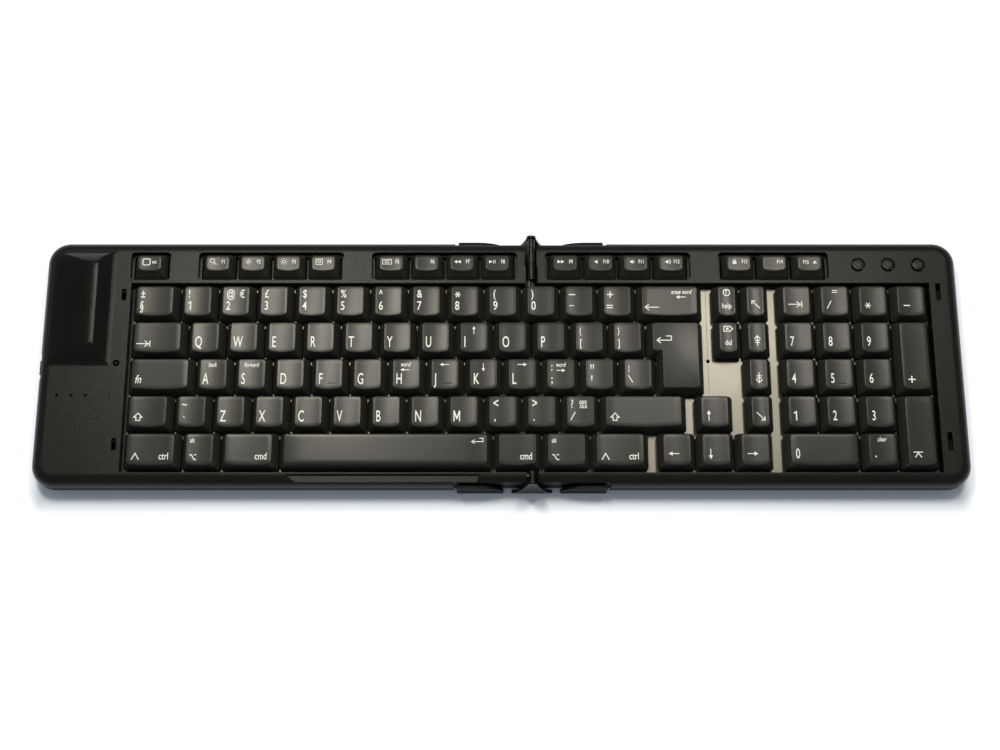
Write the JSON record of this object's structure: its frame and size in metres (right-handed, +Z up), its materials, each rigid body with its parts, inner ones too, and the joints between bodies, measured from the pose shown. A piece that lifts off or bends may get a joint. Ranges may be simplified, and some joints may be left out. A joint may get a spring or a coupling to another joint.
{
  "type": "folding keyboard",
  "caption": "Full-size cordless keyboard that folds in half on a hinge between its keys, dark plastic case, shown open flat.",
  "frame": {"origin": "under the middle of the opened keyboard, on the surface it stands on", "axes": "+X to the right of the person typing, +Y to the back edge, +Z up"},
  "size_m": [0.46, 0.1282, 0.0216],
  "materials": {
    "case_black": "fine textured, dark warm grey",
    "key_black": "satin, dark grey",
    "satin_plate": "satin, light warm grey",
    "steel": "plain",
    "rubber": "matt black",
    "clear_film": "clear",
    "board_green": "green board",
    "cell_sleeve": "plain grey sleeve"
  },
  "bodies": {
    "left_half": {"left_lower_case": "case_black", "left_upper_case": "case_black", "left_key_plate": "satin_plate", "left_keypad": "key_black", "left_membrane": "clear_film", "left_front_foot": "rubber", "left_rear_foot": "rubber", "rear_hinge_plate": "case_black", "front_hinge_plate": "case_black", "battery_cell_1": "cell_sleeve", "battery_cell_2": "cell_sleeve", "battery_bridge_contact": "steel", "battery_contact_board": "board_green", "controller_board": "board_green", "indicator_light_pipe": "clear_film"},
    "right_half": {"right_lower_case": "case_black", "right_upper_case": "case_black", "right_key_plate": "satin_plate", "right_keypad": "key_black", "right_membrane": "clear_film", "right_front_foot": "rubber", "right_rear_foot": "rubber", "button_board": "board_green"},
    "key_q": {"key_q": "key_black"},
    "key_w": {"key_w": "key_black"},
    "key_e": {"key_e": "key_black"},
    "key_r": {"key_r": "key_black"},
    "key_t": {"key_t": "key_black"},
    "key_y": {"key_y": "key_black"},
    "key_u": {"key_u": "key_black"},
    "key_i": {"key_i": "key_black"},
    "key_o": {"key_o": "key_black"},
    "key_a": {"key_a": "key_black"},
    "key_s": {"key_s": "key_black"},
    "key_d": {"key_d": "key_black"},
    "key_f": {"key_f": "key_black"},
    "key_g": {"key_g": "key_black"},
    "key_h": {"key_h": "key_black"},
    "key_j": {"key_j": "key_black"},
    "key_k": {"key_k": "key_black"},
    "key_l": {"key_l": "key_black"},
    "key_z": {"key_z": "key_black"},
    "key_x": {"key_x": "key_black"},
    "key_c": {"key_c": "key_black"},
    "key_v": {"key_v": "key_black"},
    "key_b": {"key_b": "key_black"},
    "key_n": {"key_n": "key_black"},
    "key_m": {"key_m": "key_black"},
    "space_bar": {"space_bar": "key_black"},
    "key_p": {"key_p": "key_black"},
    "backspace_key": {"backspace_key": "key_black"},
    "return_key": {"return_key": "key_black"},
    "mute_button": {"mute_button": "key_black"},
    "volume_down_button": {"volume_down_button": "key_black"},
    "volume_up_button": {"volume_up_button": "key_black"},
    "connect_button": {"connect_button": "key_black"},
    "battery_door": {"battery_door": "case_black"},
    "release_slide": {"release_slide": "case_black"},
    "latch_hook_rear": {"latch_hook_rear": "steel"},
    "latch_hook_front": {"latch_hook_front": "steel"}
  },
  "joints": [
    {"name": "fold_hinge", "type": "hinge", "parent": "left_half", "child": "right_half", "pos_m": [0.015, 0, 0.0192], "axis": [0, -1, 0], "range_deg": [0, 180]},
    {"name": "key_q_press", "type": "slide", "parent": "left_half", "child": "key_q", "axis": [0, 0, -1], "range_m": [0, 0.003], "stiffness_N_per_m": 150, "springref_m": -0.0005},
    {"name": "key_w_press", "type": "slide", "parent": "left_half", "child": "key_w", "axis": [0, 0, -1], "range_m": [0, 0.003], "stiffness_N_per_m": 150, "springref_m": -0.0005},
    {"name": "key_e_press", "type": "slide", "parent": "left_half", "child": "key_e", "axis": [0, 0, -1], "range_m": [0, 0.003], "stiffness_N_per_m": 150, "springref_m": -0.0005},
    {"name": "key_r_press", "type": "slide", "parent": "left_half", "child": "key_r", "axis": [0, 0, -1], "range_m": [0, 0.003], "stiffness_N_per_m": 150, "springref_m": -0.0005},
    {"name": "key_t_press", "type": "slide", "parent": "left_half", "child": "key_t", "axis": [0, 0, -1], "range_m": [0, 0.003], "stiffness_N_per_m": 150, "springref_m": -0.0005},
    {"name": "key_y_press", "type": "slide", "parent": "left_half", "child": "key_y", "axis": [0, 0, -1], "range_m": [0, 0.003], "stiffness_N_per_m": 150, "springref_m": -0.0005},
    {"name": "key_u_press", "type": "slide", "parent": "left_half", "child": "key_u", "axis": [0, 0, -1], "range_m": [0, 0.003], "stiffness_N_per_m": 150, "springref_m": -0.0005},
    {"name": "key_i_press", "type": "slide", "parent": "left_half", "child": "key_i", "axis": [0, 0, -1], "range_m": [0, 0.003], "stiffness_N_per_m": 150, "springref_m": -0.0005},
    {"name": "key_o_press", "type": "slide", "parent": "left_half", "child": "key_o", "axis": [0, 0, -1], "range_m": [0, 0.003], "stiffness_N_per_m": 150, "springref_m": -0.0005},
    {"name": "key_a_press", "type": "slide", "parent": "left_half", "child": "key_a", "axis": [0, 0, -1], "range_m": [0, 0.003], "stiffness_N_per_m": 150, "springref_m": -0.0005},
    {"name": "key_s_press", "type": "slide", "parent": "left_half", "child": "key_s", "axis": [0, 0, -1], "range_m": [0, 0.003], "stiffness_N_per_m": 150, "springref_m": -0.0005},
    {"name": "key_d_press", "type": "slide", "parent": "left_half", "child": "key_d", "axis": [0, 0, -1], "range_m": [0, 0.003], "stiffness_N_per_m": 150, "springref_m": -0.0005},
    {"name": "key_f_press", "type": "slide", "parent": "left_half", "child": "key_f", "axis": [0, 0, -1], "range_m": [0, 0.003], "stiffness_N_per_m": 150, "springref_m": -0.0005},
    {"name": "key_g_press", "type": "slide", "parent": "left_half", "child": "key_g", "axis": [0, 0, -1], "range_m": [0, 0.003], "stiffness_N_per_m": 150, "springref_m": -0.0005},
    {"name": "key_h_press", "type": "slide", "parent": "left_half", "child": "key_h", "axis": [0, 0, -1], "range_m": [0, 0.003], "stiffness_N_per_m": 150, "springref_m": -0.0005},
    {"name": "key_j_press", "type": "slide", "parent": "left_half", "child": "key_j", "axis": [0, 0, -1], "range_m": [0, 0.003], "stiffness_N_per_m": 150, "springref_m": -0.0005},
    {"name": "key_k_press", "type": "slide", "parent": "left_half", "child": "key_k", "axis": [0, 0, -1], "range_m": [0, 0.003], "stiffness_N_per_m": 150, "springref_m": -0.0005},
    {"name": "key_l_press", "type": "slide", "parent": "left_half", "child": "key_l", "axis": [0, 0, -1], "range_m": [0, 0.003], "stiffness_N_per_m": 150, "springref_m": -0.0005},
    {"name": "key_z_press", "type": "slide", "parent": "left_half", "child": "key_z", "axis": [0, 0, -1], "range_m": [0, 0.003], "stiffness_N_per_m": 150, "springref_m": -0.0005},
    {"name": "key_x_press", "type": "slide", "parent": "left_half", "child": "key_x", "axis": [0, 0, -1], "range_m": [0, 0.003], "stiffness_N_per_m": 150, "springref_m": -0.0005},
    {"name": "key_c_press", "type": "slide", "parent": "left_half", "child": "key_c", "axis": [0, 0, -1], "range_m": [0, 0.003], "stiffness_N_per_m": 150, "springref_m": -0.0005},
    {"name": "key_v_press", "type": "slide", "parent": "left_half", "child": "key_v", "axis": [0, 0, -1], "range_m": [0, 0.003], "stiffness_N_per_m": 150, "springref_m": -0.0005},
    {"name": "key_b_press", "type": "slide", "parent": "left_half", "child": "key_b", "axis": [0, 0, -1], "range_m": [0, 0.003], "stiffness_N_per_m": 150, "springref_m": -0.0005},
    {"name": "key_n_press", "type": "slide", "parent": "left_half", "child": "key_n", "axis": [0, 0, -1], "range_m": [0, 0.003], "stiffness_N_per_m": 150, "springref_m": -0.0005},
    {"name": "key_m_press", "type": "slide", "parent": "left_half", "child": "key_m", "axis": [0, 0, -1], "range_m": [0, 0.003], "stiffness_N_per_m": 150, "springref_m": -0.0005},
    {"name": "space_bar_press", "type": "slide", "parent": "left_half", "child": "space_bar", "axis": [0, 0, -1], "range_m": [0, 0.003], "stiffness_N_per_m": 150, "springref_m": -0.0005},
    {"name": "key_p_press", "type": "slide", "parent": "right_half", "child": "key_p", "axis": [0, 0, -1], "range_m": [0, 0.003], "stiffness_N_per_m": 150, "springref_m": -0.0005},
    {"name": "backspace_key_press", "type": "slide", "parent": "right_half", "child": "backspace_key", "axis": [0, 0, -1], "range_m": [0, 0.003], "stiffness_N_per_m": 150, "springref_m": -0.0005},
    {"name": "return_key_press", "type": "slide", "parent": "right_half", "child": "return_key", "axis": [0, 0, -1], "range_m": [0, 0.003], "stiffness_N_per_m": 150, "springref_m": -0.0005},
    {"name": "mute_button_press", "type": "slide", "parent": "right_half", "child": "mute_button", "axis": [0, 0, -1], "range_m": [0, 0.0008], "stiffness_N_per_m": 400, "springref_m": -0.0002},
    {"name": "volume_down_button_press", "type": "slide", "parent": "right_half", "child": "volume_down_button", "axis": [0, 0, -1], "range_m": [0, 0.0008], "stiffness_N_per_m": 400, "springref_m": -0.0002},
    {"name": "volume_up_button_press", "type": "slide", "parent": "right_half", "child": "volume_up_button", "axis": [0, 0, -1], "range_m": [0, 0.0008], "stiffness_N_per_m": 400, "springref_m": -0.0002},
    {"name": "connect_button_press", "type": "slide", "parent": "left_half", "child": "connect_button", "axis": [0, 0, -1], "range_m": [0, 0.0008], "stiffness_N_per_m": 400, "springref_m": -0.0002},
    {"name": "battery_door_slide", "type": "slide", "parent": "left_half", "child": "battery_door", "axis": [-1, 0, 0], "range_m": [0, 0.008]},
    {"name": "release_slide_push", "type": "slide", "parent": "left_half", "child": "release_slide", "axis": [0, 1, 0], "range_m": [0, 0.002], "stiffness_N_per_m": 300, "springref_m": -0.0005},
    {"name": "latch_hook_rear_drop", "type": "slide", "parent": "right_half", "child": "latch_hook_rear", "axis": [0, 0, 1], "range_m": [0, 0.0098]},
    {"name": "latch_hook_front_drop", "type": "slide", "parent": "right_half", "child": "latch_hook_front", "axis": [0, 0, 1], "range_m": [0, 0.0098]}
  ]
}
